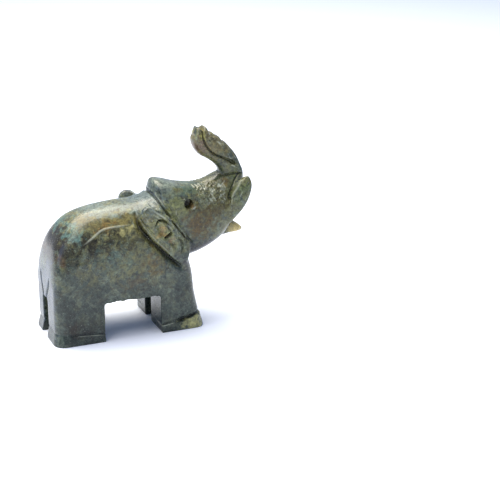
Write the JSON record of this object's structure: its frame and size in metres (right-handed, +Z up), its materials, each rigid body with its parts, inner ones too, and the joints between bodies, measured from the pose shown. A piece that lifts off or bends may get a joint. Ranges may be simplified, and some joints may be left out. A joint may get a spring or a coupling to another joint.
{
  "type": "elephant sculpture",
  "caption": "Soapstone elephant, carved from one block, standing square on its feet with its trunk raised in a curl over the head.",
  "frame": {"origin": "middle of the bounding box, at the soles of the feet", "axes": "+X towards the head, +Y towards the elephant's left side, +Z up"},
  "size_m": [0.1078, 0.041, 0.1],
  "materials": {
    "soapstone": "polished, mottled grey green with ochre and rust patches"
  },
  "bodies": {
    "root": {"elephant": "soapstone"}
  },
  "joints": []
}
